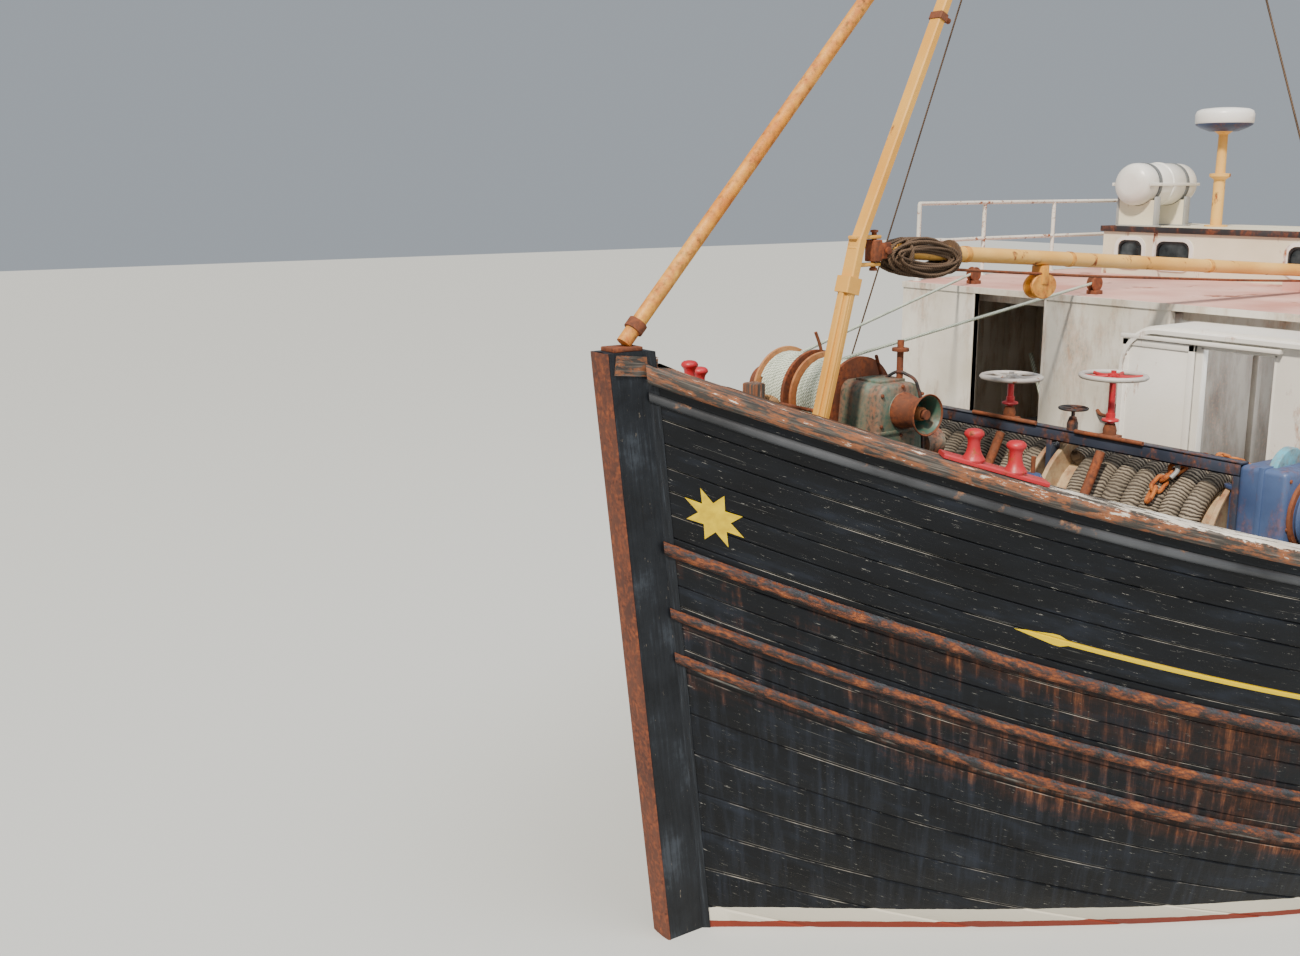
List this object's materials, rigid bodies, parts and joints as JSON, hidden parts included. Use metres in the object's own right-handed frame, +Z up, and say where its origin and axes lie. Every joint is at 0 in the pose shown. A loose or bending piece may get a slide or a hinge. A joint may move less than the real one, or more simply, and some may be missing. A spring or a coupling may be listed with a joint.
{
  "type": "wooden-hulled fishing trawler",
  "caption": "Wooden-hulled fishing trawler, afloat, with a foredeck winch, rope reels, a derrick boom, deck shelter, wheelhouse, net drum and stern gantry.",
  "frame": {"origin": "on the centreline at the waterline, half-way along the boat", "axes": "+X forward to the bow, +Y to port, +Z up"},
  "size_m": [16.5019, 5.758, 10.2271],
  "materials": {
    "hull_paint": "gloss black paint on planking, worn",
    "rail_timber": "weathered timber with flaking paint",
    "deck_planking": "scrubbed deck planks",
    "white_paint": "white gloss paint, rust stained",
    "buff_paint": "buff paint with rust spots",
    "blue_paint": "dark blue paint with rusty edges",
    "red_paint": "red paint, chalky",
    "rusty_steel": "rusty steel",
    "green_paint": "green paint, rust streaked",
    "wound_rope": "banded rope, wound tight",
    "bronze": "cast bronze, dull",
    "glassfibre": "white moulded shell",
    "antifouling": "red-brown underwater paint"
  },
  "bodies": {
    "boat": {"hull": "hull_paint", "bulwark_port": "hull_paint", "bulwark_starboard": "hull_paint", "bulwark_stern": "hull_paint", "stem": "hull_paint", "keel": "antifouling", "deck": "deck_planking", "cap_rail_port": "rail_timber", "cap_rail_starboard": "rail_timber", "cap_rail_stern": "rail_timber", "breasthook": "rail_timber", "foremast": "buff_paint", "bollards_port": "red_paint", "bollards_starboard": "red_paint", "winch_frame": "green_paint", "reel_frame": "blue_paint", "handwheel_port": "red_paint", "handwheel_starboard": "red_paint", "casing": "white_paint", "casing_front": "white_paint", "shelter_front": "white_paint", "shelter_side_port": "white_paint", "shelter_side_starboard": "white_paint", "shelter_top": "white_paint", "shelter_trunk": "white_paint", "deckhouse_front": "white_paint", "deckhouse_back": "white_paint", "deckhouse_port": "white_paint", "deckhouse_starboard": "white_paint", "deckhouse_top": "white_paint", "wheelhouse_front": "white_paint", "wheelhouse_back": "white_paint", "wheelhouse_port": "white_paint", "wheelhouse_starboard": "white_paint", "wheelhouse_roof": "white_paint", "goalpost_mast": "buff_paint", "radar": "glassfibre", "liferaft_canister": "glassfibre", "exhaust": "rusty_steel", "handrail_port": "white_paint", "handrail_starboard": "white_paint", "net_drum_stand": "blue_paint", "hatch_coaming": "white_paint", "stern_gantry": "buff_paint", "main_stays": "rusty_steel"},
    "propeller_body": {"propeller": "bronze"},
    "rudder_body": {"rudder": "antifouling"},
    "gooseneck_body": {"gooseneck": "rusty_steel"},
    "boom_body": {"boom": "buff_paint"},
    "drum_port_body": {"winch_drum_port": "rusty_steel"},
    "drum_starboard_body": {"winch_drum_starboard": "rusty_steel"},
    "head_port_body": {"warping_head_port": "rusty_steel"},
    "head_starboard_body": {"warping_head_starboard": "rusty_steel"},
    "reel_port_body": {"rope_reel_port": "wound_rope"},
    "reel_starboard_body": {"rope_reel_starboard": "wound_rope"},
    "net_drum_body": {"net_drum": "green_paint"},
    "casing_door_body": {"casing_door": "white_paint"},
    "deckhouse_door_body": {"deckhouse_door": "rail_timber"},
    "wheelhouse_door_body": {"wheelhouse_door": "rail_timber"},
    "hatch_lid_body": {"hatch_lid": "rail_timber"}
  },
  "joints": [
    {"name": "propeller_spin", "type": "hinge", "parent": "boat", "child": "propeller_body", "pos_m": [-6.056, 0, -1.48], "axis": [1, 0, 0], "continuous": true},
    {"name": "rudder_turn", "type": "hinge", "parent": "boat", "child": "rudder_body", "pos_m": [-6.81, 0, -1.3], "axis": [0, 0, 1], "range_deg": [-35, 35]},
    {"name": "boom_slew", "type": "hinge", "parent": "boat", "child": "gooseneck_body", "pos_m": [6.451, 0, 3.63], "axis": [0, 0, 1], "range_deg": [-25, 25]},
    {"name": "boom_luff", "type": "hinge", "parent": "gooseneck_body", "child": "boom_body", "pos_m": [6.39, 0, 3.63], "axis": [0, 1, 0], "range_deg": [0, 45]},
    {"name": "winch_drum_port_spin", "type": "hinge", "parent": "boat", "child": "drum_port_body", "pos_m": [6.26, -0.4335, 2.73], "axis": [0, 1, 0], "continuous": true},
    {"name": "winch_drum_starboard_spin", "type": "hinge", "parent": "boat", "child": "drum_starboard_body", "pos_m": [6.26, -0.7895, 2.73], "axis": [0, 1, 0], "continuous": true},
    {"name": "warping_head_port_spin", "type": "hinge", "parent": "boat", "child": "head_port_body", "pos_m": [6.26, 0.178, 2.73], "axis": [0, 1, 0], "continuous": true},
    {"name": "warping_head_starboard_spin", "type": "hinge", "parent": "boat", "child": "head_starboard_body", "pos_m": [6.26, -1.062, 2.73], "axis": [0, 1, 0], "continuous": true},
    {"name": "rope_reel_port_spin", "type": "hinge", "parent": "boat", "child": "reel_port_body", "pos_m": [4.53, 0.635, 1.925], "axis": [0, 1, 0], "continuous": true},
    {"name": "rope_reel_starboard_spin", "type": "hinge", "parent": "boat", "child": "reel_starboard_body", "pos_m": [4.53, -0.61, 1.925], "axis": [0, 1, 0], "continuous": true},
    {"name": "net_drum_spin", "type": "hinge", "parent": "boat", "child": "net_drum_body", "pos_m": [-6.2, 0, 1.95], "axis": [0, 1, 0], "continuous": true},
    {"name": "casing_door_slide", "type": "slide", "parent": "boat", "child": "casing_door_body", "axis": [0, 1, 0], "range_m": [0, 0.535]},
    {"name": "deckhouse_door_swing", "type": "hinge", "parent": "boat", "child": "deckhouse_door_body", "pos_m": [-4.173, -1.165, 2.14], "axis": [0, 0, 1], "range_deg": [0, 110]},
    {"name": "wheelhouse_door_swing", "type": "hinge", "parent": "boat", "child": "wheelhouse_door_body", "pos_m": [-2.495, 1.323, 4.17], "axis": [0, 0, -1], "range_deg": [0, 110]},
    {"name": "hatch_lid_lift", "type": "hinge", "parent": "boat", "child": "hatch_lid_body", "pos_m": [-4.48, 0, 1.503], "axis": [0, 1, 0], "range_deg": [0, 100]}
  ]
}
